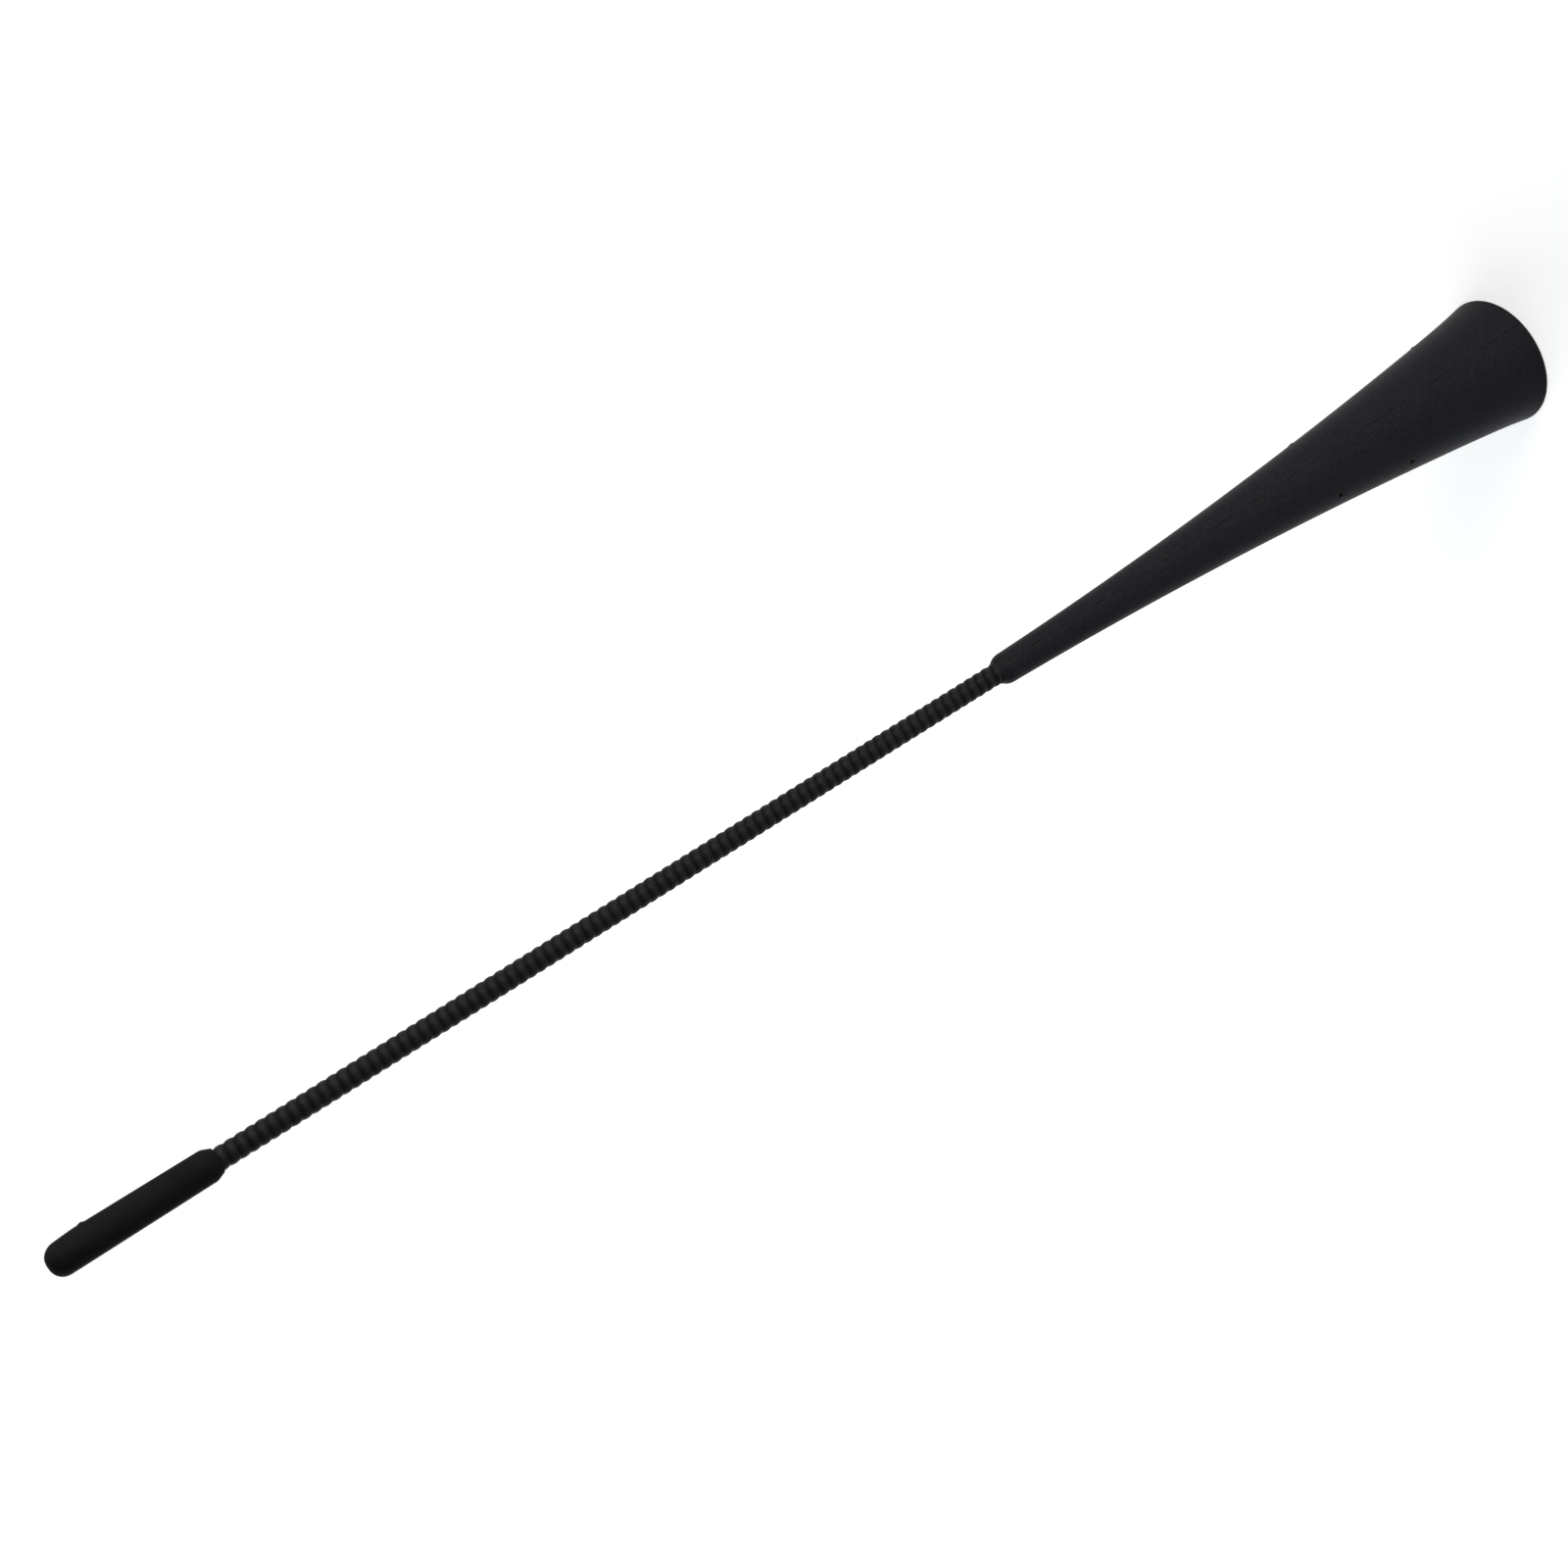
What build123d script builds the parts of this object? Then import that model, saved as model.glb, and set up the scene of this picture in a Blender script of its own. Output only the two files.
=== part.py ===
from build123d import *
from math import cos, radians, sin, tan
import os

# Car mast aerial: a flared rubber boot, a helically ribbed whip and a domed tip cap.
# The mast stands upright on the rim of its boot, with the origin at the rim's centre and +Z along the mast.
# Lengths are in millimetres.

# Mast
mast_length = 325.0

# Boot, from its rim at the bottom to its shoulder at the neck
boot_length = 130.3
rim_diameter = 25.9
rim_edge_radius = 0.4
neck_diameter = 5.86
shoulder_length = 1.9
neck_lip = 0.2
# The trumpet widens by three shares of its depth: one even, one curved and one that only acts in the lip
taper_share = 0.27
flare_power = 1.88
lip_power = 30.0
lip_share = 0.034
flare_stations = 8

# Hollow skirt under the boot
skirt_wall = 2.3
hollow_depth = 12.0
hollow_draft = 7.0
hollow_corner_radius = 1.5

# Brass insert moulded into the boot, with a hexagonal flange that stands a little out of the ceiling
flange_across_flats = 9.0
flange_thickness = 3.0
flange_stand = 0.5
insert_diameter = 7.0
insert_web = 3.0
groove_width = 2.0
groove_depth = 0.6
groove_count = 3
socket_depth = 10.0
insert_edge = 0.4

# M5 stud, pressed into the insert by a plain shank
stud_diameter = 5.0
stud_length = 10.0
stud_chamfer = 0.6
shank_diameter = 4.0
shank_length = 9.0
hex_key_across_flats = 2.5
hex_key_depth = 2.5

# Whip: glass-fibre rod, fine copper wire wound on it turn against turn, ribbed sleeve over both
core_diameter = 2.0
wire_diameter = 0.2
rib_pitch = 1.935
rib_height = 0.18
whip_diameter = 4.0
sleeve_tuck = 5.5
sections_per_turn = 4

# Tip cap
cap_length = 30.7
cap_diameter = 6.03
cap_foot_diameter = 5.7
cap_cone_length = 1.6
cap_lip = 0.15
dome_radius = 2.5
tip_wall = 6.0

# Clearances
moulding_gap = 0.05
press_gap = 0.02
winding_gap = 0.05
sleeve_gap = 0.05

# Share of the widening that follows the main curve
curve_share = 1 - taper_share - lip_share

# Radii that follow from the sizes above
rim_radius = rim_diameter / 2
neck_radius = neck_diameter / 2
mouth_radius = rim_radius - skirt_wall
ceiling_radius = mouth_radius - hollow_depth * tan(radians(hollow_draft))
core_radius = core_diameter / 2
winding_inside = core_radius + winding_gap
winding_outside = winding_inside + wire_diameter
winding_bore = winding_outside + winding_gap
whip_radius = whip_diameter / 2
rib_offset = rib_height / 2
sleeve_radius = whip_radius - rib_offset
sleeve_bore = whip_radius + sleeve_gap
insert_radius = insert_diameter / 2

# Heights that follow from the sizes above
shoulder_bottom = boot_length - shoulder_length
insert_bottom = hollow_depth - flange_stand
shank_top = insert_bottom + shank_length
socket_bottom = shank_top + insert_web
insert_top = socket_bottom + socket_depth
body_bottom = insert_bottom + flange_thickness
stud_bottom = insert_bottom - stud_length
cap_bottom = mast_length - cap_length
sleeve_bottom = boot_length - sleeve_tuck
sleeve_top = cap_bottom + sleeve_tuck
core_top = mast_length - tip_wall


def flare_point(height):
    # Point of the trumpet's outline at a height above the rim
    depth = 1 - height / shoulder_bottom
    share = taper_share * depth + curve_share * depth**flare_power + lip_share * depth**lip_power
    return (neck_radius + (rim_radius - neck_radius) * share, height)


def insert_body(gap):
    # Half section of the insert above its flange, grown sideways by the gap
    with BuildSketch(Plane.XZ) as section:
        with Locations((0, body_bottom)):
            Rectangle(insert_radius + gap, insert_top - body_bottom, align=(Align.MIN, Align.MIN))
        with Locations((insert_radius + gap, (body_bottom + insert_top) / 2)):
            with GridLocations(0, 2 * groove_width, 1, groove_count):
                Rectangle(2 * groove_depth, groove_width, mode=Mode.SUBTRACT)
    return section.sketch


def hex_flange(gap):
    # The insert's flange, grown sideways by the gap
    with BuildSketch(Plane.XY.offset(insert_bottom)) as hexagon:
        RegularPolygon(flange_across_flats / 2 + gap, 6, major_radius=False)
    return hexagon.sketch


# Boot: the trumpet turned about Z, then the hollow skirt, the insert's seat and the whip's bores
with BuildPart() as boot:
    with BuildSketch(Plane.XZ):
        with BuildLine():
            heights = [shoulder_bottom * station / flare_stations for station in range(flare_stations + 1)]
            rim_steepness = taper_share + curve_share * flare_power + lip_share * lip_power
            rim_tangent = (rim_steepness * (neck_radius - rim_radius), shoulder_bottom)
            neck_tangent = (taper_share * (neck_radius - rim_radius), shoulder_bottom)
            flare = Spline(*[flare_point(height) for height in heights], tangents=[rim_tangent, neck_tangent])
            shoulder = TangentArc(flare @ 1, (sleeve_bore + neck_lip, boot_length), tangent=flare % 1)
            Polyline(shoulder @ 1, (0, boot_length), (0, 0), flare @ 0)
        make_face()
    revolve(axis=Axis.Z)
    rim_edge = boot.edges().filter_by(GeomType.CIRCLE).group_by(Axis.Z)[0]
    fillet(rim_edge, rim_edge_radius)
    with BuildSketch(Plane.XZ):
        with BuildLine():
            Polyline((0, 0), (mouth_radius, 0), (ceiling_radius, hollow_depth), (0, hollow_depth), close=True)
        hollow = make_face()
        fillet(hollow.vertices().group_by(Axis.Z)[-1].sort_by(Axis.X)[-1], hollow_corner_radius)
    revolve(axis=Axis.Z, mode=Mode.SUBTRACT)
    extrude(hex_flange(moulding_gap), amount=flange_thickness, mode=Mode.SUBTRACT)
    revolve(insert_body(moulding_gap), axis=Axis.Z, mode=Mode.SUBTRACT)
    with BuildSketch(Plane.XY.offset(insert_top)):
        Circle(winding_bore)
    extrude(amount=boot_length - insert_top, mode=Mode.SUBTRACT)
    with BuildSketch(Plane.XY.offset(sleeve_bottom)):
        Circle(sleeve_bore)
    extrude(amount=sleeve_tuck, mode=Mode.SUBTRACT)

# Foot insert: hexagonal flange below, grooved body above, a hole for the stud and a socket for the rod
with BuildPart() as foot_insert:
    extrude(hex_flange(0), amount=flange_thickness)
    revolve(insert_body(0), axis=Axis.Z)
    top_edge = foot_insert.edges().filter_by(GeomType.CIRCLE).group_by(Axis.Z)[-1]
    chamfer(top_edge, insert_edge)
    with BuildSketch(Plane.XY.offset(insert_bottom)):
        Circle(shank_diameter / 2 + press_gap)
    extrude(amount=shank_length, mode=Mode.SUBTRACT)
    with BuildSketch(Plane.XY.offset(socket_bottom)):
        Circle(core_radius + press_gap)
    extrude(amount=socket_depth, mode=Mode.SUBTRACT)

# Mounting stud: plain shank in the insert, M5 end hanging into the hollow, hexagon socket in its foot
with BuildPart() as mounting_stud:
    with BuildSketch(Plane.XY.offset(insert_bottom)):
        Circle(shank_diameter / 2)
    extrude(amount=shank_length)
    with BuildSketch(Plane.XY.offset(stud_bottom)):
        Circle(stud_diameter / 2)
    extrude(amount=stud_length)
    foot_edge = mounting_stud.edges().filter_by(GeomType.CIRCLE).group_by(Axis.Z)[0]
    chamfer(foot_edge, stud_chamfer)
    with BuildSketch(Plane.XY.offset(stud_bottom)):
        RegularPolygon(hex_key_across_flats / 2, 6, major_radius=False)
    extrude(amount=hex_key_depth, mode=Mode.SUBTRACT)

# Whip core: glass-fibre rod from the insert's socket to the end of the cap's bore
with BuildPart() as whip_core:
    with BuildSketch(Plane.XY.offset(socket_bottom)):
        Circle(core_radius)
    extrude(amount=core_top - socket_bottom)

# Antenna winding: the closely wound wire as one thin tube, from the insert to the end of the cap's bore
with BuildPart() as antenna_winding:
    with BuildSketch(Plane.XY.offset(insert_top)):
        Circle(winding_outside)
        Circle(winding_inside, mode=Mode.SUBTRACT)
    extrude(amount=core_top - insert_top)

# Whip sleeve: its outside circles round the axis once in each pitch, which makes one long left-handed rib
with BuildPart() as whip_sleeve:
    section_count = round((sleeve_top - sleeve_bottom) / rib_pitch * sections_per_turn)
    section_step = (sleeve_top - sleeve_bottom) / section_count
    for section in range(section_count + 1):
        height = sleeve_bottom + section * section_step
        turn = -radians(360 * (height - sleeve_bottom) / rib_pitch)
        with BuildSketch(Plane.XY.offset(height)):
            with Locations((rib_offset * cos(turn), rib_offset * sin(turn))):
                Circle(sleeve_radius)
    loft(ruled=True)
    with BuildSketch(Plane.XY.offset(sleeve_bottom)):
        Circle(winding_bore)
    extrude(amount=sleeve_top - sleeve_bottom, mode=Mode.SUBTRACT)

# Tip cap: conical foot, body that thickens towards a domed end, stepped blind bore
with BuildPart() as tip_cap:
    with BuildSketch(Plane.XZ):
        with BuildLine():
            Polyline(
                (0, cap_bottom),
                (sleeve_bore + cap_lip, cap_bottom),
                (cap_foot_diameter / 2, cap_bottom + cap_cone_length),
                (cap_diameter / 2, mast_length),
                (0, mast_length),
                close=True,
            )
        outline = make_face()
        fillet(outline.vertices().group_by(Axis.Z)[-1].sort_by(Axis.X)[-1], dome_radius)
    revolve(axis=Axis.Z)
    with BuildSketch(Plane.XY.offset(cap_bottom)):
        Circle(winding_bore)
    extrude(amount=core_top - cap_bottom, mode=Mode.SUBTRACT)
    with BuildSketch(Plane.XY.offset(cap_bottom)):
        Circle(sleeve_bore)
    extrude(amount=sleeve_tuck, mode=Mode.SUBTRACT)

os.makedirs("parts", exist_ok=True)
pieces = {
    "boot": boot,
    "foot_insert": foot_insert,
    "mounting_stud": mounting_stud,
    "whip_core": whip_core,
    "antenna_winding": antenna_winding,
    "whip_sleeve": whip_sleeve,
    "tip_cap": tip_cap,
}
for name, piece in pieces.items():
    piece.part.label = name
    export_step(piece.part, f"parts/{name}.step")
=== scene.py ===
# Car mast aerial: looks of the boot, the ribbed whip, the tip cap and the fittings under the boot
# Outlines are drawn in millimetres and brought to metres at the end of each piece
from math import asin, cos, pi, radians, sin, tan

import bmesh
import bpy
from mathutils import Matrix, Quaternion, Vector


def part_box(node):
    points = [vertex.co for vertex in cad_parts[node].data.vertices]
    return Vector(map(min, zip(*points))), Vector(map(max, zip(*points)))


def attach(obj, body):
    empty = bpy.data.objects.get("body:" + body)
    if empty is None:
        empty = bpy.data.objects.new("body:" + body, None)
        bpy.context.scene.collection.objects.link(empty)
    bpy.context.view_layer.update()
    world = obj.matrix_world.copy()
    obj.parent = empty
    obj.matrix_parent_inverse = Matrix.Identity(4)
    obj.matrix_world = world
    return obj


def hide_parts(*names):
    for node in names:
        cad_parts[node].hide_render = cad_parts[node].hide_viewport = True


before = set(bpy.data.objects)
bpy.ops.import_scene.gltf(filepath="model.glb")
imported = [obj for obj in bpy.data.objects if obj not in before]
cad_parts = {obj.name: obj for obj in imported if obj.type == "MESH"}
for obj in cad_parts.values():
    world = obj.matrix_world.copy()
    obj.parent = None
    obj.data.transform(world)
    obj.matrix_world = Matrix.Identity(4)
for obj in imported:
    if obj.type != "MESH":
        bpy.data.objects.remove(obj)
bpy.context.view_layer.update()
mm = 0.001
mergeGap = 0.0005  # mm, points closer than this are one
noiseRange = (0.3, 0.7)  # a noise texture hardly leaves this range
scene = bpy.context.scene
scene.view_settings.view_transform = "Standard"


def cadSpan(node):
    # lowest and highest corner of a CAD node, in millimetres
    low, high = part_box(node)
    return low / mm, high / mm


bootHigh = cadSpan("boot")[1]
sleeveLow, sleeveHigh = cadSpan("whip_sleeve")
capLow, capHigh = cadSpan("tip_cap")
insertLow, insertHigh = cadSpan("foot_insert")
studLow, studHigh = cadSpan("mounting_stud")
coreHigh = cadSpan("whip_core")[1]
print("frame loaded:", len(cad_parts), "nodes, mast", round(capHigh.z, 1), "mm tall")


# Camera first: it stands in front of the mast, looks down at it and is rolled as the photo is
cameraSetup = {
    "place": (0, -494.22, 396.87),  # mm
    "aim": (3.259, 0, 177.287),
    "roll": 121.85,  # degrees, clockwise
    "lens": 72,
    "sensor": 36,
    "clipStart": 10,  # mm
}


def addCamera(setup):
    data = bpy.data.cameras.new("photoCamera")
    data.lens = setup["lens"]
    data.sensor_width = setup["sensor"]
    data.clip_start = setup["clipStart"] * mm
    camera = bpy.data.objects.new("photoCamera", data)
    camera.location = Vector(setup["place"]) * mm
    look = (Vector(setup["aim"]) - Vector(setup["place"])).to_track_quat("-Z", "Y")
    camera.rotation_euler = (look @ Quaternion((0, 0, 1), -radians(setup["roll"]))).to_euler()
    scene.collection.objects.link(camera)
    scene.camera = camera
    print("camera placed, lens", setup["lens"], "mm")


addCamera(cameraSetup)


# Node helpers: a socket value that is itself a socket becomes a link
def addNode(tree, kind, values=None, **settings):
    node = tree.nodes.new(kind)
    for name, value in settings.items():
        setattr(node, name, value)
    for socket, value in (values or {}).items():
        if isinstance(value, bpy.types.NodeSocket):
            tree.links.new(value, node.inputs[socket])
        else:
            node.inputs[socket].default_value = value
    return node


def addMath(tree, operation, first, second=0.0, clamp=False):
    node = addNode(tree, "ShaderNodeMath", {0: first, 1: second}, operation=operation, use_clamp=clamp)
    return node.outputs[0]


def spread(tree, value, low, high, toLow, toHigh, smooth=False):
    kind = "SMOOTHSTEP" if smooth else "LINEAR"
    sockets = {"Value": value, "From Min": low, "From Max": high, "To Min": toLow, "To Max": toHigh}
    return addNode(tree, "ShaderNodeMapRange", sockets, interpolation_type=kind).outputs["Result"]


def mixColour(tree, factor, first, second):
    # sockets go by place, because the node repeats their names for each kind of value
    node = addNode(tree, "ShaderNodeMix", {0: factor, 6: first, 7: second}, data_type="RGBA")
    return node.outputs[2]


def newGroup(name, inputs, outputs):
    group = bpy.data.node_groups.new(name, "ShaderNodeTree")
    for label, default in inputs.items():
        socket = group.interface.new_socket(label, in_out="INPUT", socket_type="NodeSocketFloat")
        socket.default_value = default
    for label in outputs:
        group.interface.new_socket(label, in_out="OUTPUT", socket_type="NodeSocketFloat")
    start = group.nodes.new("NodeGroupInput")
    end = group.nodes.new("NodeGroupOutput")
    return group, start.outputs, end


def placeGroup(tree, group, values):
    node = tree.nodes.new("ShaderNodeGroup")
    node.node_tree = group
    for label, value in values.items():
        node.inputs[label].default_value = value
    return node.outputs


def newMaterial(name):
    material = bpy.data.materials.new(name)
    material.use_nodes = True
    tree = material.node_tree
    return material, tree, tree.nodes["Principled BSDF"]


def setShader(shader, values):
    for label, value in values.items():
        shader.inputs[label].default_value = value


def axisDistance(tree, place, scale):
    # distance to the mast's axis
    across = addNode(tree, "ShaderNodeVectorMath", {0: place, 1: (scale, scale, 0)}, operation="MULTIPLY")
    away = addNode(tree, "ShaderNodeVectorMath", {0: across.outputs[0]}, operation="LENGTH")
    return away.outputs["Value"]


# Shared effects, with their sizes in millimetres
def makeMouldedGrain():
    # fine grain left by the mould, and slow patches where the finish is duller
    sizes = {"Grain Size": 0.2, "Patch Size": 9.0}
    group, given, end = newGroup("mouldedGrain", sizes, ["Grain", "Patches"])
    place = addNode(group, "ShaderNodeTexCoord").outputs["Object"]
    grainScale = addMath(group, "DIVIDE", 1 / mm, given["Grain Size"])
    grain = addNode(group, "ShaderNodeTexNoise", {"Vector": place, "Scale": grainScale, "Detail": 3.0})
    patchScale = addMath(group, "DIVIDE", 1 / mm, given["Patch Size"])
    patches = addNode(group, "ShaderNodeTexNoise", {"Vector": place, "Scale": patchScale, "Detail": 4.0})
    group.links.new(grain.outputs[0], end.inputs["Grain"])
    group.links.new(spread(group, patches.outputs[0], *noiseRange, 0.0, 1.0), end.inputs["Patches"])
    return group


def makeGrooveMask():
    # 1 in the grooves of a ribbed or threaded surface, 0 on its crests
    group, given, end = newGroup("grooveMask", {"Crest Radius": 1.9, "Groove Depth": 0.2}, ["Groove"])
    place = addNode(group, "ShaderNodeTexCoord").outputs["Object"]
    depth = addMath(group, "SUBTRACT", given["Crest Radius"], axisDistance(group, place, 1 / mm))
    groove = addMath(group, "DIVIDE", depth, given["Groove Depth"], clamp=True)
    group.links.new(groove, end.inputs["Groove"])
    return group


def makeTurnedRings():
    # fine lathe marks: rings that change with the radius and the height, and not around the axis
    group, given, end = newGroup("turnedRings", {"Ring Size": 0.1}, ["Rings"])
    place = addNode(group, "ShaderNodeTexCoord").outputs["Object"]
    height = addNode(group, "ShaderNodeSeparateXYZ", {0: place}).outputs["Z"]
    across = {"X": axisDistance(group, place, 1.0), "Y": height}
    ringPlace = addNode(group, "ShaderNodeCombineXYZ", across).outputs[0]
    scale = addMath(group, "DIVIDE", 1 / mm, given["Ring Size"])
    rings = addNode(group, "ShaderNodeTexNoise", {"Vector": ringPlace, "Scale": scale, "Detail": 2.0})
    group.links.new(rings.outputs[0], end.inputs["Rings"])
    return group


mouldedGrain = makeMouldedGrain()
grooveMask = makeGrooveMask()
turnedRings = makeTurnedRings()
print("shared effects: grain, groove and ring groups")


# Steps that several finishes share
def placeGrain(tree, finish):
    sizes = {"Grain Size": finish["grainSize"], "Patch Size": finish["patchSize"]}
    return placeGroup(tree, mouldedGrain, sizes)


def placeGroove(tree, crestRadius, depth):
    return placeGroup(tree, grooveMask, {"Crest Radius": crestRadius, "Groove Depth": depth})["Groove"]


def patchRoughness(tree, grain, finish):
    # the duller patches are rougher too
    return spread(tree, grain["Patches"], 0.0, 1.0, *finish["roughness"])


def addBump(tree, shader, height, strength, depth):
    # depth in millimetres
    sockets = {"Height": height, "Strength": strength, "Distance": depth * mm}
    tree.links.new(addNode(tree, "ShaderNodeBump", sockets).outputs[0], shader.inputs["Normal"])


# Mesh helpers
def finishPiece(bm, name, node, material, sharpAngle):
    # merge, orient, bring to metres and hand the piece to the frame
    bmesh.ops.remove_doubles(bm, verts=bm.verts, dist=mergeGap)
    bmesh.ops.recalc_face_normals(bm, faces=bm.faces)
    bmesh.ops.scale(bm, vec=(mm, mm, mm), verts=bm.verts)
    mesh = bpy.data.meshes.new(name)
    bm.to_mesh(mesh)
    openEdges = sum(1 for edge in bm.edges if not edge.is_manifold)
    bm.free()
    mesh.shade_smooth()
    mesh.set_sharp_from_angle(angle=radians(sharpAngle))
    mesh.materials.append(material)
    piece = bpy.data.objects.new(name, mesh)
    scene.collection.objects.link(piece)
    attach(piece, "root")
    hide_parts(node)
    print(name + ":", len(mesh.polygons), "faces,", openEdges, "open edges")


def everything(bm):
    return bm.verts[:] + bm.edges[:] + bm.faces[:]


def onlyVerts(geom):
    return [item for item in geom if isinstance(item, bmesh.types.BMVert)]


def openRing(bm, height):
    # edges of the open ring at a height
    edges = [edge for edge in bm.edges if edge.is_boundary]
    return [edge for edge in edges if all(abs(v.co.z - height) < 2 * mergeGap for v in edge.verts)]


def drawOutline(bm, points):
    # chain of edges in the XZ plane through (radius, height) points
    verts = [bm.verts.new((radius, 0, height)) for radius, height in points]
    for first, second in zip(verts, verts[1:]):
        bm.edges.new((first, second))
    return verts


def roundCorner(bm, vert, setBack, segments):
    bmesh.ops.bevel(bm, geom=[vert], offset=setBack, offset_type="OFFSET", segments=segments, profile=0.5,
                    affect="VERTICES", material=-1)


def turn(bm, steps):
    bmesh.ops.spin(bm, geom=bm.verts[:] + bm.edges[:], cent=(0, 0, 0), axis=(0, 0, 1), angle=2 * pi,
                   steps=steps, use_merge=True)
    bmesh.ops.remove_doubles(bm, verts=bm.verts, dist=mergeGap)


def screwUp(bm, pitch, steps, turns, hand):
    # one turn of the outline, doubled upwards until there are enough turns; hand is 1 for right, -1 for left
    bmesh.ops.spin(bm, geom=bm.verts[:] + bm.edges[:], cent=(0, 0, 0), axis=(0, 0, 1), angle=hand * 2 * pi,
                   dvec=(0, 0, pitch / steps), steps=steps, use_merge=False)
    made = 1
    while made < turns:
        copied = bmesh.ops.duplicate(bm, geom=everything(bm))["geom"]
        bmesh.ops.translate(bm, vec=(0, 0, made * pitch), verts=onlyVerts(copied))
        made *= 2
    bmesh.ops.remove_doubles(bm, verts=bm.verts, dist=mergeGap)


def trimEnds(bm, low, high):
    # cut a screwed surface off level at both ends
    for height, side in ((low, -1), (high, 1)):
        bmesh.ops.bisect_plane(bm, geom=everything(bm), dist=mergeGap, plane_co=(0, 0, height),
                               plane_no=(0, 0, side), clear_outer=True)


def growRing(bm, height, radius):
    # new ring from the open one at a height, drawn in to a radius
    grown = bmesh.ops.extrude_edge_only(bm, edges=openRing(bm, height))["geom"]
    for vert in onlyVerts(grown):
        vert.co.xy *= radius / vert.co.xy.length
    return grown


def addHexagon(bm, flats, height):
    # ring of edges, with two of its corners on the X axis
    corner = flats / 2 / cos(radians(30))
    ring = bmesh.ops.create_circle(bm, cap_ends=False, segments=6, radius=corner)["verts"]
    bmesh.ops.rotate(bm, cent=(0, 0, 0), matrix=Quaternion((0, 0, 1), radians(30)).to_matrix(), verts=ring)
    bmesh.ops.translate(bm, vec=(0, 0, height), verts=ring)
    return [edge for edge in bm.edges if edge.is_wire and all(v in ring for v in edge.verts)]


spotMesh = {
    "reachTimes": 2.5,  # the mesh is made finer this far around a spot
    "margin": 0.8,
    "cuts": 3,
}


def pushSpot(bm, height, azimuth, surfaceRadius, reach, rise):
    # raise or sink a small round spot of a turned surface
    way = Vector((cos(radians(azimuth)), sin(radians(azimuth)), 0))
    centre = way * surfaceRadius + Vector((0, 0, height))
    around = spotMesh["reachTimes"] * reach + spotMesh["margin"]
    near = [edge for edge in bm.edges if all((v.co - centre).length < around for v in edge.verts)]
    bmesh.ops.subdivide_edges(bm, edges=near, cuts=spotMesh["cuts"], use_grid_fill=True)
    for vert in bm.verts:
        share = 1 - ((vert.co - centre).length / reach) ** 2
        if share > 0:
            vert.co += way * rise * share**2


# Boot: hollow skirt, trumpet flare, shoulder and bores, turned as one shell
bootForm = {
    "rimDiameter": 25.9,
    "neckDiameter": 5.86,
    "shoulderLength": 1.9,
    "neckLip": 0.2,
    "neckTail": 0.46,  # the rubber thins out onto the whip above the shoulder
    "taperShare": 0.27,  # the flare widens evenly, by a curve, and by a steep one in its lip
    "flarePower": 1.88,
    "lipPower": 30.0,
    "lipShare": 0.034,
    "rimEdge": 0.52,
    "skirtWall": 2.3,
    "mouthEdge": 0.3,
    "hollowDepth": 12.0,
    "hollowDraft": 7.0,
    "hollowCorner": 1.5,
    "ceilingRing": 7.0,  # radius from which the ceiling closes in on the insert's hexagon
    "hexFlats": 9.1,
    "pocketRadius": 3.55,
    "flangeThickness": 3.0,
    "wireBore": 1.3,
    "sleeveBore": 2.05,
    "seamAzimuth": -72.5,  # parting line of the mould, also on the far side
    "seamWidth": 0.3,
    "seamRise": 0.03,
    "seamFoot": 1.0,  # height at which it starts
    "seamEven": 0.65,  # share of the rise that stays even, and share that comes and goes
    "seamUneven": 0.35,
    "seamWaves": (0.9, 0.23),
    "skinDepth": 0.05,
    "pits": [(33.1, -150.4), (50.9, -143.5)],  # height, azimuth
    "pitReach": 0.72,
    "pitDepth": 0.4,
    "nubs": [(51.6, -3.0), (16.0, -3.0)],
    "nubReach": 0.8,
    "nubRise": 0.2,
    "tailSteps": 6,
    "shoulderSteps": 12,
    "flareRows": 84,
    "rowCrowding": 1.15,  # over 1: closer rows towards the lip, where the outline bends most
    "rimSteps": 5,
    "mouthSteps": 4,
    "cornerSteps": 8,
    "aroundSteps": 192,
    "sharpAngle": 40,
}


def flareRadius(form, height):
    neck = form["neckDiameter"] / 2
    widening = form["rimDiameter"] / 2 - neck
    depth = max(0.0, 1 - height / (bootHigh.z - form["shoulderLength"]))
    taper, lip = form["taperShare"], form["lipShare"]
    curve = (1 - taper - lip) * depth ** form["flarePower"]
    return neck + widening * (taper * depth + curve + lip * depth ** form["lipPower"])


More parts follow.
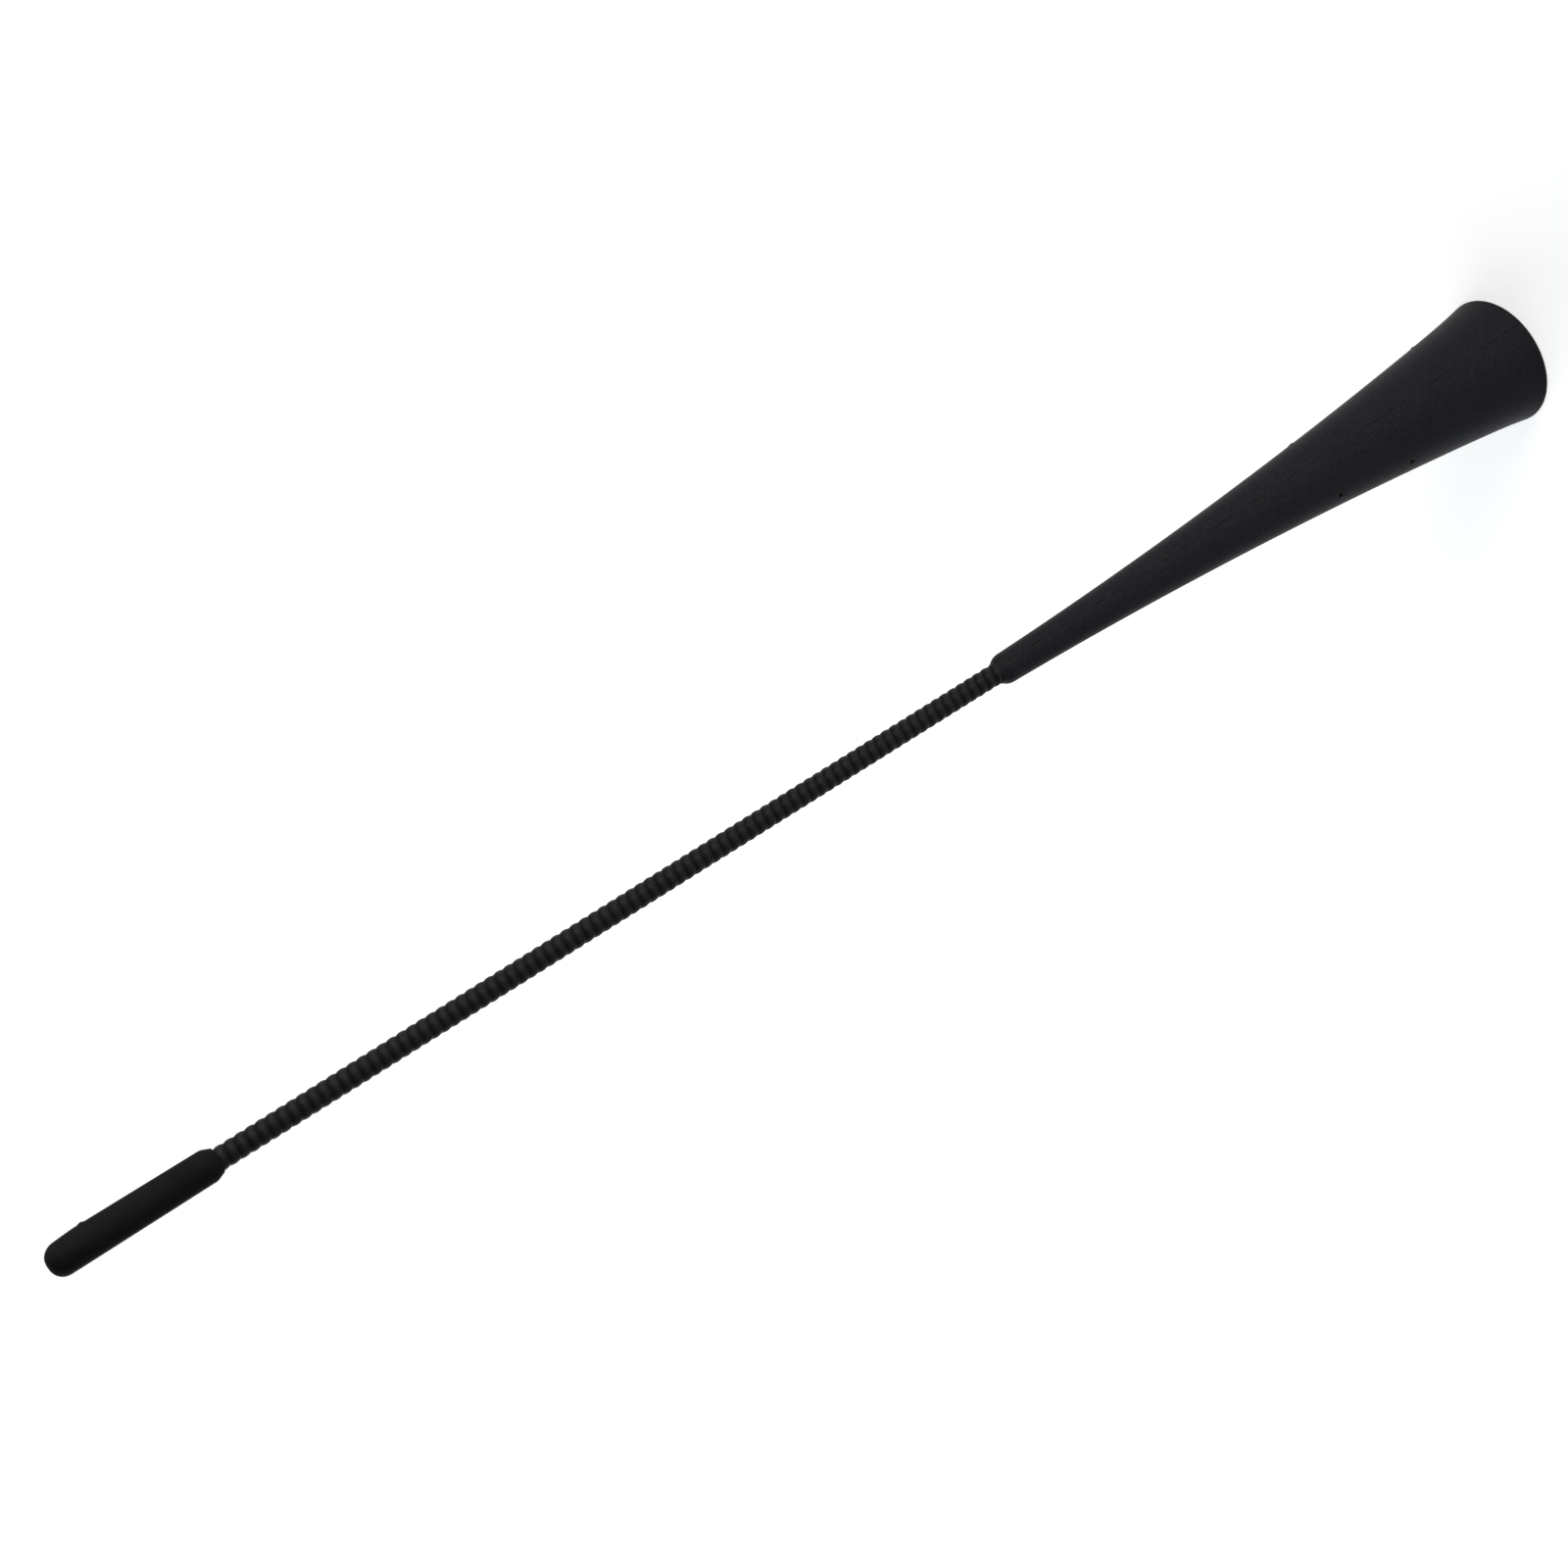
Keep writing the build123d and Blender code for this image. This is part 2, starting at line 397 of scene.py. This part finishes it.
def bootOutline(form):
    shoulderBottom = bootHigh.z - form["shoulderLength"]
    pocketTop = insertLow.z + form["flangeThickness"]
    mouth = form["rimDiameter"] / 2 - form["skirtWall"]
    ceiling = mouth - form["hollowDepth"] * tan(radians(form["hollowDraft"]))
    pocket, bore, seat = form["pocketRadius"], form["wireBore"], form["sleeveBore"]
    points = [(pocket, pocketTop), (pocket, insertHigh.z), (bore, insertHigh.z)]
    points += [(bore, sleeveLow.z), (seat, sleeveLow.z)]
    for step in range(form["tailSteps"] + 1):
        left = step / form["tailSteps"]
        points.append((seat + form["neckLip"] * left**2, bootHigh.z + form["neckTail"] * (1 - left)))
    # shoulder: an arc that leaves the neck upright and ends at the lip of the bore
    neck = form["neckDiameter"] / 2
    reach = neck - seat - form["neckLip"]
    arcRadius = (reach**2 + form["shoulderLength"] ** 2) / (2 * reach)
    arcEnd = asin(form["shoulderLength"] / arcRadius)
    for step in range(form["shoulderSteps"] - 1, 0, -1):
        angle = arcEnd * step / form["shoulderSteps"]
        points.append((neck - arcRadius * (1 - cos(angle)), shoulderBottom + arcRadius * sin(angle)))
    for row in range(form["flareRows"] + 1):
        height = shoulderBottom * (1 - row / form["flareRows"]) ** form["rowCrowding"]
        points.append((flareRadius(form, height), height))
    rimCorner = len(points) - 1
    points += [(mouth, 0), (ceiling, form["hollowDepth"]), (form["ceilingRing"], form["hollowDepth"])]
    return points, rimCorner


def addSeam(bm, form):
    # a fine raised line down both sides of the flare
    along = radians(form["seamAzimuth"])
    across = Vector((-sin(along), cos(along), 0))
    for offset in (-form["seamWidth"] / 2, 0, form["seamWidth"] / 2):
        bmesh.ops.bisect_plane(bm, geom=everything(bm), dist=mergeGap, plane_co=across * offset,
                               plane_no=across)
    quick, slow = form["seamWaves"]
    for vert in bm.verts:
        radius = vert.co.xy.length
        onFlare = form["seamFoot"] < vert.co.z < bootHigh.z - form["shoulderLength"]
        onSkin = onFlare and abs(radius - flareRadius(form, vert.co.z)) < form["skinDepth"]
        if onSkin and abs(vert.co.dot(across)) < 2 * mergeGap:
            waver = form["seamEven"] + form["seamUneven"] * sin(vert.co.z * quick) * sin(vert.co.z * slow)
            vert.co.xy *= 1 + form["seamRise"] * waver / radius


def addHexPocket(bm, form):
    # the ceiling closes in on a hexagonal pocket, which leads up to the insert's round body
    pocketTop = insertLow.z + form["flangeThickness"]
    lower = addHexagon(bm, form["hexFlats"], form["hollowDepth"])
    upper = addHexagon(bm, form["hexFlats"], pocketTop)
    ceilingEdge = openRing(bm, form["hollowDepth"])
    pocketEdge = openRing(bm, pocketTop)
    bmesh.ops.bridge_loops(bm, edges=ceilingEdge + lower)
    bmesh.ops.bridge_loops(bm, edges=lower + upper)
    bmesh.ops.bridge_loops(bm, edges=upper + pocketEdge)


def makeBoot(form, material):
    bm = bmesh.new()
    points, rimCorner = bootOutline(form)
    rim, mouth, ceiling = drawOutline(bm, points)[rimCorner:rimCorner + 3]
    cornerSetBack = form["hollowCorner"] * tan(radians(45 - form["hollowDraft"] / 2))
    roundCorner(bm, ceiling, cornerSetBack, form["cornerSteps"])
    roundCorner(bm, mouth, form["mouthEdge"], form["mouthSteps"])
    roundCorner(bm, rim, form["rimEdge"], form["rimSteps"])
    turn(bm, form["aroundSteps"])
    addHexPocket(bm, form)
    addSeam(bm, form)
    for height, azimuth in form["pits"]:
        pushSpot(bm, height, azimuth, flareRadius(form, height), form["pitReach"], -form["pitDepth"])
    for height, azimuth in form["nubs"]:
        pushSpot(bm, height, azimuth, flareRadius(form, height), form["nubReach"], form["nubRise"])
    finishPiece(bm, "mastBoot", "boot", material, form["sharpAngle"])


rubberFinish = {
    "dark": (0.0078, 0.0082, 0.0102, 1),
    "dull": (0.0142, 0.0149, 0.018, 1),
    "roughness": (0.45, 0.5),
    "specular": 0.04,
    "grainSize": 0.5,
    "patchSize": 11.0,
    "grainDepth": 0.03,  # mm
    "grainBump": 0.5,
    "speckleRange": (0.38, 0.62),  # part of the grain that speckles the colour
    "speckleShare": 0.7,
    "patchShare": 0.3,
    "markColour": (0.002, 0.002, 0.002, 1),
    "lineWidth": 0.2,  # dark line along the parting line, broken into dashes
    "dashSize": 5.0,
    "dashRange": (0.45, 0.6),
    "dashDark": (0.15, 0.8),
    "pitCore": 0.4,  # share of a pit's reach that is wholly dark
}


def makeBootRubber(finish, form):
    material, tree, shader = newMaterial("bootRubber")
    grain = placeGrain(tree, finish)
    place = addNode(tree, "ShaderNodeTexCoord").outputs["Object"]
    # dark marks: dashes along the parting line, then the two pits
    seam = radians(form["seamAzimuth"])
    sideways = (-sin(seam), cos(seam), 0)
    across = addNode(tree, "ShaderNodeVectorMath", {0: place, 1: sideways}, operation="DOT_PRODUCT")
    fromSeam = addMath(tree, "ABSOLUTE", across.outputs["Value"])
    line = spread(tree, fromSeam, 0.0, finish["lineWidth"] * mm, 1.0, 0.0, True)
    along = addNode(tree, "ShaderNodeSeparateXYZ", {0: place}).outputs["Z"]
    dashScale = 1 / mm / finish["dashSize"]
    dashNoise = addNode(tree, "ShaderNodeTexNoise", {"W": along, "Scale": dashScale}, noise_dimensions="1D")
    dashes = spread(tree, dashNoise.outputs[0], *finish["dashRange"], *finish["dashDark"])
    marks = addMath(tree, "MULTIPLY", line, dashes)
    reach = form["pitReach"] * mm
    for height, azimuth in form["pits"]:
        radius = flareRadius(form, height)
        centre = Vector((radius * cos(radians(azimuth)), radius * sin(radians(azimuth)), height)) * mm
        away = addNode(tree, "ShaderNodeVectorMath", {0: place, 1: centre}, operation="DISTANCE")
        pit = spread(tree, away.outputs["Value"], finish["pitCore"] * reach, reach, 1.0, 0.0, True)
        marks = addMath(tree, "MAXIMUM", marks, pit)
    speckle = spread(tree, grain["Grain"], *finish["speckleRange"], 0.0, finish["speckleShare"])
    patches = addMath(tree, "MULTIPLY", grain["Patches"], finish["patchShare"])
    colour = mixColour(tree, addMath(tree, "ADD", speckle, patches), finish["dark"], finish["dull"])
    tree.links.new(mixColour(tree, marks, colour, finish["markColour"]), shader.inputs["Base Color"])
    roughness = patchRoughness(tree, grain, finish)
    tree.links.new(addMath(tree, "MAXIMUM", roughness, marks), shader.inputs["Roughness"])
    addBump(tree, shader, grain["Grain"], finish["grainBump"], finish["grainDepth"])
    setShader(shader, {"Specular IOR Level": finish["specular"]})
    return material


makeBoot(bootForm, makeBootRubber(rubberFinish, bootForm))


# Whip sleeve: one rib outline screwed up the mast, trimmed at both ends, with a plain bore
sleeveForm = {
    "ribPitch": 1.935,
    "hand": -1,  # left-handed rib
    "ribHeight": 0.22,
    "ribPower": 0.9,  # under 1: broad round crest, narrow groove
    "crestRadius": sleeveHigh.x,
    "bore": 1.3,
    "spareTurns": 1.5,  # past each end, for the trim
    "ribRows": 12,
    "turnSteps": 36,
    "sharpAngle": 60,
}


def makeSleeve(form, material):
    bm = bmesh.new()
    pitch = form["ribPitch"]
    start = sleeveLow.z - form["spareTurns"] * pitch
    turns = (sleeveHigh.z - sleeveLow.z) / pitch + 2 * form["spareTurns"]
    points = []
    for row in range(form["ribRows"] + 1):
        share = row / form["ribRows"]
        bulge = abs(sin(pi * share)) ** form["ribPower"]
        points.append((form["crestRadius"] - form["ribHeight"] * (1 - bulge), start + share * pitch))
    drawOutline(bm, points)
    screwUp(bm, pitch, form["turnSteps"], turns, form["hand"])
    trimEnds(bm, sleeveLow.z, sleeveHigh.z)
    boreRings = []
    for height in (sleeveLow.z, sleeveHigh.z):
        grown = growRing(bm, height, form["bore"])
        boreRings += [item for item in grown if isinstance(item, bmesh.types.BMEdge) and item.is_boundary]
    bmesh.ops.bridge_loops(bm, edges=boreRings)
    finishPiece(bm, "whipSleeve", "whip_sleeve", material, form["sharpAngle"])


sleeveFinish = {
    "crest": (0.019, 0.0188, 0.0198, 1),
    # the groove colour is painted shade: it darkens the grooves between the ribs, where shade falls
    "groove": (0.0015, 0.0015, 0.0017, 1),
    "paintedShadePower": 0.5,  # under 1: the painted shade reaches up the rib's flanks
    "roughness": (0.4, 0.45),
    "specular": 0.04,
    "grainSize": 0.12,
    "patchSize": 6.0,
    "grainDepth": 0.012,
    "grainBump": 0.4,
}


def makeSleevePlastic(finish, form):
    material, tree, shader = newMaterial("sleevePlastic")
    grain = placeGrain(tree, finish)
    groove = placeGroove(tree, form["crestRadius"], form["ribHeight"])
    # painted shade: the grooves and the ribs' flanks darken with their depth below the crest
    paintedGrooveShade = addMath(tree, "POWER", groove, finish["paintedShadePower"])
    tree.links.new(mixColour(tree, paintedGrooveShade, finish["crest"], finish["groove"]), shader.inputs["Base Color"])
    tree.links.new(patchRoughness(tree, grain, finish), shader.inputs["Roughness"])
    addBump(tree, shader, grain["Grain"], finish["grainBump"], finish["grainDepth"])
    setShader(shader, {"Specular IOR Level": finish["specular"]})
    return material


makeSleeve(sleeveForm, makeSleevePlastic(sleeveFinish, sleeveForm))


# Tip cap: conical foot, body that thickens a little towards its domed end, stepped blind bore
capForm = {
    "diameter": 6.03,
    "footDiameter": 5.7,
    "coneLength": 1.6,
    "lip": 0.15,
    "sleeveBore": 2.05,
    "wireBore": 1.3,
    "domeRadius": 2.5,
    "domeMargin": 0.3,  # the body's rows end this far below the dome
    "footEdge": 0.12,
    "coneEdge": 0.35,
    "nub": (317.4, -3.0),  # gate mark: height, azimuth
    "nubReach": 0.7,
    "nubRise": 0.2,
    "draw": 0.45,  # the dome draws in on its +X side over its last few millimetres
    "drawLength": 6.0,
    "bodyRows": 24,
    "domeSteps": 14,
    "coneSteps": 5,
    "footSteps": 4,
    "aroundSteps": 128,
    "sharpAngle": 40,
}


def capRadius(form, height):
    foot, wide = form["footDiameter"] / 2, form["diameter"] / 2
    coneTop = capLow.z + form["coneLength"]
    return foot + (wide - foot) * (height - coneTop) / (capHigh.z - coneTop)


def makeCap(form, material):
    bm = bmesh.new()
    bore, seat, wide = form["wireBore"], form["sleeveBore"], form["diameter"] / 2
    coneTop = capLow.z + form["coneLength"]
    points = [(0, coreHigh.z), (bore, coreHigh.z), (bore, sleeveHigh.z), (seat, sleeveHigh.z)]
    points += [(seat, capLow.z), (seat + form["lip"], capLow.z), (form["footDiameter"] / 2, coneTop)]
    coneCorner = len(points) - 1
    bodyTop = capHigh.z - form["domeRadius"] - form["domeMargin"]
    for row in range(1, form["bodyRows"] + 1):
        height = coneTop + row / form["bodyRows"] * (bodyTop - coneTop)
        points.append((capRadius(form, height), height))
    points += [(wide, capHigh.z), (0, capHigh.z)]
    verts = drawOutline(bm, points)
    roundCorner(bm, verts[-2], form["domeRadius"], form["domeSteps"])
    roundCorner(bm, verts[coneCorner], form["coneEdge"], form["coneSteps"])
    roundCorner(bm, verts[coneCorner - 1], form["footEdge"], form["footSteps"])
    turn(bm, form["aroundSteps"])
    height, azimuth = form["nub"]
    pushSpot(bm, height, azimuth, capRadius(form, height), form["nubReach"], form["nubRise"])
    for vert in bm.verts:
        above = max(0.0, vert.co.z - capHigh.z + form["drawLength"]) / form["drawLength"]
        vert.co.x -= form["draw"] * above * max(0.0, vert.co.x) / wide
    finishPiece(bm, "tipCap", "tip_cap", material, form["sharpAngle"])


capFinish = {
    "dark": (0.0075, 0.0074, 0.0077, 1),
    "dull": (0.0112, 0.011, 0.0114, 1),
    "roughness": (0.6, 0.65),
    "specular": 0.015,
    "grainSize": 0.14,
    "patchSize": 7.0,
    "grainDepth": 0.015,
    "grainBump": 0.5,
}


def makeCapPlastic(finish):
    material, tree, shader = newMaterial("capPlastic")
    grain = placeGrain(tree, finish)
    black = mixColour(tree, grain["Patches"], finish["dark"], finish["dull"])
    tree.links.new(black, shader.inputs["Base Color"])
    tree.links.new(patchRoughness(tree, grain, finish), shader.inputs["Roughness"])
    addBump(tree, shader, grain["Grain"], finish["grainBump"], finish["grainDepth"])
    setShader(shader, {"Specular IOR Level": finish["specular"]})
    return material


makeCap(capForm, makeCapPlastic(capFinish))


# Stud: threaded end with a chamfered foot and a hexagon socket, plain shank in the insert
studForm = {
    "majorRadius": 2.5,
    "threadPitch": 0.8,
    "hand": 1,
    "threadDepth": 0.49,
    "crestShare": 0.125,
    "rootShare": 0.25,
    "chamfer": 0.6,
    "shankRadius": 2.0,
    "keyFlats": 2.5,
    "keyDepth": 2.5,
    "spareTurns": 1.5,
    "turnSteps": 40,
    "sharpAngle": 30,
}


def makeStud(form, material):
    bm = bmesh.new()
    pitch, major = form["threadPitch"], form["majorRadius"]
    minor = major - form["threadDepth"]
    start = studLow.z - form["spareTurns"] * pitch
    rootEnd = start + pitch * form["rootShare"] / 2
    crestStart = rootEnd + pitch * (1 - form["crestShare"] - form["rootShare"]) / 2
    crestEnd = crestStart + pitch * form["crestShare"]
    rootStart = start + pitch - pitch * form["rootShare"] / 2
    points = [(minor, start), (minor, rootEnd), (major, crestStart), (major, crestEnd)]
    points += [(minor, rootStart), (minor, start + pitch)]
    drawOutline(bm, points)
    turns = (insertLow.z - studLow.z) / pitch + 2 * form["spareTurns"]
    screwUp(bm, pitch, form["turnSteps"], turns, form["hand"])
    trimEnds(bm, studLow.z, insertLow.z)
    for vert in bm.verts:
        limit = major - form["chamfer"] + max(0.0, vert.co.z - studLow.z)
        if vert.co.xy.length > limit:
            vert.co.xy *= limit / vert.co.xy.length
    # shank: close in to its radius, rise to its top, then cover it
    growRing(bm, insertLow.z, form["shankRadius"])
    grown = bmesh.ops.extrude_edge_only(bm, edges=openRing(bm, insertLow.z))["geom"]
    bmesh.ops.translate(bm, vec=(0, 0, studHigh.z - insertLow.z), verts=onlyVerts(grown))
    bmesh.ops.edgeloop_fill(bm, edges=openRing(bm, studHigh.z))
    # hexagon socket in the foot
    footEdge = openRing(bm, studLow.z)
    keyEdge = addHexagon(bm, form["keyFlats"], studLow.z)
    bmesh.ops.bridge_loops(bm, edges=footEdge + keyEdge)
    grown = bmesh.ops.extrude_edge_only(bm, edges=keyEdge)["geom"]
    bmesh.ops.translate(bm, vec=(0, 0, form["keyDepth"]), verts=onlyVerts(grown))
    bmesh.ops.edgeloop_fill(bm, edges=openRing(bm, studLow.z + form["keyDepth"]))
    finishPiece(bm, "threadedStud", "mounting_stud", material, form["sharpAngle"])


steelFinish = {
    "bright": (0.62, 0.62, 0.6, 1),
    "clouded": (0.45, 0.46, 0.46, 1),
    "root": (0.2, 0.2, 0.2, 1),
    "rootPower": 3.0,  # over 1: the darkening keeps to the thread's root
    "roughness": (0.28, 0.42),
    "grainSize": 0.1,
    "patchSize": 1.2,
    "ringSize": 0.06,
    "ringDepth": 0.01,
    "ringBump": 0.4,
}


def makeStudSteel(finish, form):
    material, tree, shader = newMaterial("studSteel")
    grain = placeGrain(tree, finish)
    rings = placeGroup(tree, turnedRings, {"Ring Size": finish["ringSize"]})
    groove = placeGroove(tree, form["majorRadius"], form["threadDepth"])
    plated = mixColour(tree, grain["Patches"], finish["bright"], finish["clouded"])
    rootDarkening = addMath(tree, "POWER", groove, finish["rootPower"])
    tree.links.new(mixColour(tree, rootDarkening, plated, finish["root"]), shader.inputs["Base Color"])
    tree.links.new(patchRoughness(tree, grain, finish), shader.inputs["Roughness"])
    addBump(tree, shader, rings["Rings"], finish["ringBump"], finish["ringDepth"])
    setShader(shader, {"Metallic": 1.0})
    return material


makeStud(studForm, makeStudSteel(steelFinish, studForm))


# CAD nodes that keep their shape get their own finish
brassFinish = {
    "bright": (0.78, 0.57, 0.26, 1),
    "tarnished": (0.5, 0.34, 0.14, 1),
    "roughness": (0.25, 0.45),
    "grainSize": 0.1,
    "patchSize": 1.6,
    "ringSize": 0.08,
    "ringDepth": 0.012,
    "ringBump": 0.5,
}


def makeInsertBrass(finish):
    material, tree, shader = newMaterial("insertBrass")
    grain = placeGrain(tree, finish)
    rings = placeGroup(tree, turnedRings, {"Ring Size": finish["ringSize"]})
    brass = mixColour(tree, grain["Patches"], finish["bright"], finish["tarnished"])
    tree.links.new(brass, shader.inputs["Base Color"])
    tree.links.new(patchRoughness(tree, grain, finish), shader.inputs["Roughness"])
    addBump(tree, shader, rings["Rings"], finish["ringBump"], finish["ringDepth"])
    setShader(shader, {"Metallic": 1.0})
    return material


fibreFinish = {
    "resin": (0.74, 0.74, 0.64, 1),
    "strand": (0.86, 0.87, 0.8, 1),
    "roughness": (0.3, 0.5),
    "streakAcross": 0.12,  # mm
    "streakAlong": 8.0,
    "streakDepth": 0.01,
    "streakBump": 0.4,
}


def makeGlassFibre(finish):
    material, tree, shader = newMaterial("glassFibre")
    place = addNode(tree, "ShaderNodeTexCoord").outputs["Object"]
    scale = Vector((1 / finish["streakAcross"], 1 / finish["streakAcross"], 1 / finish["streakAlong"])) / mm
    stretched = addNode(tree, "ShaderNodeMapping", {"Vector": place, "Scale": scale}).outputs[0]
    noise = addNode(tree, "ShaderNodeTexNoise", {"Vector": stretched, "Scale": 1.0, "Detail": 3.0})
    streaks = noise.outputs[0]
    tree.links.new(mixColour(tree, streaks, finish["resin"], finish["strand"]), shader.inputs["Base Color"])
    tree.links.new(spread(tree, streaks, *noiseRange, *finish["roughness"]), shader.inputs["Roughness"])
    addBump(tree, shader, streaks, finish["streakBump"], finish["streakDepth"])
    return material


copperFinish = {
    "bright": (0.76, 0.36, 0.19, 1),
    "enamel": (0.5, 0.18, 0.07, 1),
    "roughness": (0.2, 0.35),
    "coat": 0.6,
    "coatRoughness": 0.15,
    "grainSize": 0.08,
    "patchSize": 1.0,
    "grainDepth": 0.005,
    "grainBump": 0.3,
}


def makeCopperWire(finish):
    material, tree, shader = newMaterial("copperWire")
    grain = placeGrain(tree, finish)
    copper = mixColour(tree, grain["Patches"], finish["bright"], finish["enamel"])
    tree.links.new(copper, shader.inputs["Base Color"])
    tree.links.new(patchRoughness(tree, grain, finish), shader.inputs["Roughness"])
    addBump(tree, shader, grain["Grain"], finish["grainBump"], finish["grainDepth"])
    setShader(shader, {"Metallic": 1.0})
    setShader(shader, {"Coat Weight": finish["coat"], "Coat Roughness": finish["coatRoughness"]})
    return material


def dressNode(node, material):
    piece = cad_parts[node]
    piece.data.materials.clear()
    piece.data.materials.append(material)


dressNode("foot_insert", makeInsertBrass(brassFinish))
dressNode("whip_core", makeGlassFibre(fibreFinish))
dressNode("antenna_winding", makeCopperWire(copperFinish))
print("CAD nodes dressed: brass insert, fibre rod, copper winding")


# Stage: pale floor, soft lamps at a plain level, white where the camera looks past the mast
stageSetup = {
    "floorSize": 30.0,  # m
    "floorColour": (0.9, 0.9, 0.9, 1),
    "floorRoughness": 0.9,
    "floorDrop": 0.05,  # mm under the rim
    "worldLevel": 0.12,
    "missingNear": 0.64,  # share of white that the light leaves missing at the mast and far from it
    "missingFar": 0.9,
    "shadowNear": 30.0,  # mm from the mast, between which the one passes into the other
    "shadowFar": 260.0,
}
keyLamp = {
    "name": "keyLamp",
    "place": (430, -680, 155),  # mm
    "aim": (0, 0, 60),
    "width": 800,
    "height": 300,
    "spread": 50,  # degrees
    "power": 0.95,
    "colour": (1.0, 0.975, 0.93),
}
rimLamp = {
    "name": "rimLamp",
    "place": (-900, 600, 560),
    "aim": (0, 0, 170),
    "width": 1100,
    "height": 1100,
    "spread": 180,
    "power": 4.8,
    "colour": (0.76, 0.9, 1.0),
}
backLamp = {
    "name": "backLamp",
    "place": (-200, 800, 220),
    "aim": (0, 0, 150),
    "width": 700,
    "height": 300,
    "spread": 60,
    "power": 0.8,
    "colour": (0.95, 0.98, 1.0),
}
tipLamp = {
    "name": "tipLamp",
    "place": (260, -120, 345),
    "aim": (0, 0, 312),
    "width": 200,
    "height": 200,
    "spread": 70,
    "power": 0.15,
    "colour": (1.0, 0.93, 0.82),
}


def lookedAt(tree):
    # 1 for what the camera, a reflection or clear glass sees
    path = addNode(tree, "ShaderNodeLightPath")
    seen = addMath(tree, "MAXIMUM", path.outputs["Is Camera Ray"], path.outputs["Is Glossy Ray"])
    return addMath(tree, "MAXIMUM", seen, path.outputs["Is Transmission Ray"])


def makeFloor(setup):
    bm = bmesh.new()
    bmesh.ops.create_grid(bm, x_segments=1, y_segments=1, size=setup["floorSize"] / 2)
    bmesh.ops.translate(bm, vec=(0, 0, -setup["floorDrop"] * mm), verts=bm.verts)
    mesh = bpy.data.meshes.new("paleFloor")
    bm.to_mesh(mesh)
    bm.free()
    floor = bpy.data.objects.new("paleFloor", mesh)
    scene.collection.objects.link(floor)
    material, tree, shader = newMaterial("paleFloor")
    setShader(shader, {"Base Color": setup["floorColour"], "Roughness": setup["floorRoughness"]})
    setShader(shader, {"Specular IOR Level": 0.0, "Emission Color": (1, 1, 1, 1)})
    # makes up what the light leaves missing to white, but less near the mast, so that its shadow shows
    place = addNode(tree, "ShaderNodeTexCoord").outputs["Object"]
    away = addNode(tree, "ShaderNodeVectorMath", {0: place}, operation="LENGTH").outputs["Value"]
    near, far = setup["shadowNear"] * mm, setup["shadowFar"] * mm
    missing = spread(tree, away, near, far, setup["missingNear"], setup["missingFar"], True)
    tree.links.new(addMath(tree, "MULTIPLY", lookedAt(tree), missing), shader.inputs["Emission Strength"])
    # clear from below, so that the hollow of the boot can be looked into
    below = addNode(tree, "ShaderNodeNewGeometry").outputs["Backfacing"]
    clear = addNode(tree, "ShaderNodeBsdfTransparent").outputs[0]
    mixed = addNode(tree, "ShaderNodeMixShader", {0: below, 1: shader.outputs[0], 2: clear})
    tree.links.new(mixed.outputs[0], tree.nodes["Material Output"].inputs["Surface"])
    mesh.materials.append(material)


def makeWorld(setup):
    world = bpy.data.worlds.new("softRoom")
    world.use_nodes = True
    tree = world.node_tree
    level = spread(tree, lookedAt(tree), 0.0, 1.0, setup["worldLevel"], 1.0)
    background = tree.nodes["Background"]
    background.inputs["Color"].default_value = (1, 1, 1, 1)
    tree.links.new(level, background.inputs["Strength"])
    scene.world = world


def addLamp(lamp):
    data = bpy.data.lights.new(lamp["name"], "AREA")
    data.shape = "RECTANGLE"
    data.size = lamp["width"] * mm
    data.size_y = lamp["height"] * mm
    data.spread = radians(lamp["spread"])
    data.energy = lamp["power"]
    data.color = lamp["colour"]
    light = bpy.data.objects.new(lamp["name"], data)
    light.location = Vector(lamp["place"]) * mm
    aim = Vector(lamp["aim"]) * mm - light.location
    light.rotation_euler = aim.to_track_quat("-Z", "Y").to_euler()
    scene.collection.objects.link(light)


makeFloor(stageSetup)
makeWorld(stageSetup)
for lamp in (keyLamp, rimLamp, backLamp, tipLamp):
    addLamp(lamp)
print("stage set: floor, white room and four lamps")
